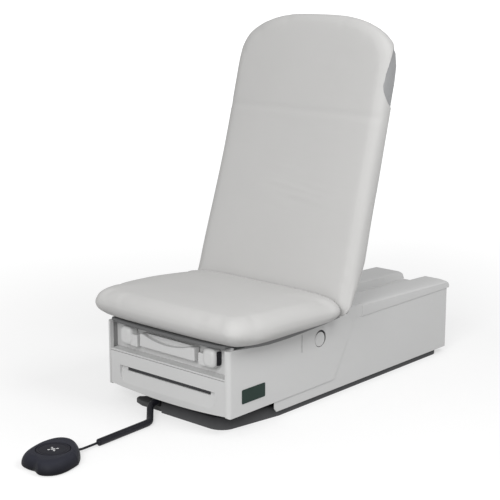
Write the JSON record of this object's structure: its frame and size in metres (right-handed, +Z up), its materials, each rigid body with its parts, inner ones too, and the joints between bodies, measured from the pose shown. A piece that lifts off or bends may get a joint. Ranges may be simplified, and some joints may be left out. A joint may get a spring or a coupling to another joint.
{
  "type": "examination chair",
  "caption": "Powered low-access examination chair with a reclining backrest, telescopic lift, pull-out foot board and stirrups, a front drawer and a corded foot control.",
  "frame": {"origin": "on the floor under the middle of the body, on the base's underside", "axes": "+Z up, -Y towards the front of the seat, +X to the sitter's left"},
  "size_m": [0.74, 1.9139, 1.337],
  "materials": {
    "light_plastic": "fine satin moulded plastic",
    "upholstery": "vinyl-coated fabric over foam",
    "dark_base": "dark grey textured plastic",
    "dark_control": "very dark grey plastic",
    "rubber": "black rubber",
    "painted_steel": "grey powder coat",
    "bright_steel": "plated steel",
    "grey_plastic": "mid-grey moulded plastic",
    "badge": "plain dark green plate"
  },
  "bodies": {
    "base": {"base_pan": "dark_base", "base_front_lid": "dark_base", "base_foot_plate": "dark_base", "column_outer": "painted_steel", "lift_motor": "grey_plastic", "cord_gland": "dark_base", "cord_sleeve": "rubber", "control_cord": "rubber", "control_sole": "rubber", "control_housing": "dark_control"},
    "lift_stage_one": {"column_stage_one": "bright_steel"},
    "lift_stage_two": {"column_stage_two": "bright_steel"},
    "carriage": {"column_inner": "bright_steel", "column_head_plate": "painted_steel", "carriage_frame": "painted_steel", "seat_board": "light_plastic", "seat_cushion": "upholstery", "side_cover_left": "light_plastic", "side_cover_right": "light_plastic", "port_cap_left": "light_plastic", "port_cap_right": "light_plastic", "badge_plate": "badge", "rear_housing": "light_plastic", "mains_inlet": "dark_base", "rear_deck": "light_plastic", "hinge_bracket_left": "painted_steel", "hinge_bracket_right": "painted_steel", "back_actuator": "grey_plastic", "control_box": "grey_plastic", "front_shelf": "light_plastic", "front_fascia": "light_plastic", "foot_board_tray": "painted_steel", "stirrup_guide_left": "painted_steel", "stirrup_guide_right": "painted_steel", "drawer_slide_left": "bright_steel", "drawer_slide_right": "bright_steel"},
    "backrest": {"back_frame": "painted_steel", "back_cushion": "upholstery", "back_board": "grey_plastic", "back_grip_left": "grey_plastic", "back_grip_right": "grey_plastic"},
    "recline_rod": {"back_actuator_rod": "bright_steel"},
    "foot_extension": {"foot_board": "light_plastic", "foot_board_front": "light_plastic"},
    "stirrup_left": {"stirrup_bar_left": "bright_steel", "stirrup_cup_left": "light_plastic"},
    "stirrup_right": {"stirrup_bar_right": "bright_steel", "stirrup_cup_right": "light_plastic"},
    "drawer": {"drawer_front": "light_plastic", "drawer_box": "light_plastic", "drawer_runner_left": "bright_steel", "drawer_runner_right": "bright_steel"},
    "control_ring": {"control_gimbal": "bright_steel"},
    "control_rocker": {"control_pad": "dark_control"}
  },
  "joints": [
    {"name": "lift", "type": "slide", "parent": "base", "child": "carriage", "axis": [0, 0, 1], "range_m": [0, 0.48]},
    {"name": "lift_stage_one", "type": "slide", "parent": "base", "child": "lift_stage_one", "axis": [0, 0, 1], "range_m": [0, 0.161]},
    {"name": "lift_stage_two", "type": "slide", "parent": "base", "child": "lift_stage_two", "axis": [0, 0, 1], "range_m": [0, 0.321]},
    {"name": "recline", "type": "hinge", "parent": "carriage", "child": "backrest", "pos_m": [0, -0.08, 0.355], "axis": [1, 0, 0], "range_deg": [-73, 0]},
    {"name": "recline_rod", "type": "slide", "parent": "carriage", "child": "recline_rod", "axis": [0, 1, 0], "range_m": [-0.104, 0]},
    {"name": "foot_extension", "type": "slide", "parent": "carriage", "child": "foot_extension", "axis": [0, -1, 0], "range_m": [0, 0.27]},
    {"name": "stirrup_left", "type": "slide", "parent": "carriage", "child": "stirrup_left", "axis": [0, -1, 0], "range_m": [0, 0.26]},
    {"name": "stirrup_right", "type": "slide", "parent": "carriage", "child": "stirrup_right", "axis": [0, -1, 0], "range_m": [0, 0.26]},
    {"name": "drawer", "type": "slide", "parent": "carriage", "child": "drawer", "axis": [0, -1, 0], "range_m": [0, 0.3]},
    {"name": "control_pitch", "type": "hinge", "parent": "base", "child": "control_ring", "pos_m": [0.02531, -1.16301, 0.0304], "axis": [1, 0, 0], "range_deg": [-4, 4], "stiffness_Nm_per_rad": 4},
    {"name": "control_roll", "type": "hinge", "parent": "control_ring", "child": "control_rocker", "pos_m": [0.02531, -1.16301, 0.0357], "axis": [0, 1, 0], "range_deg": [-4, 4], "stiffness_Nm_per_rad": 4}
  ],
  "couplings": [
    {"joint": "lift_stage_one", "follows": "lift", "ratio": 0.33333},
    {"joint": "lift_stage_two", "follows": "lift", "ratio": 0.66667},
    {"joint": "recline_rod", "follows": "recline", "m_per_rad": 0.079321}
  ]
}
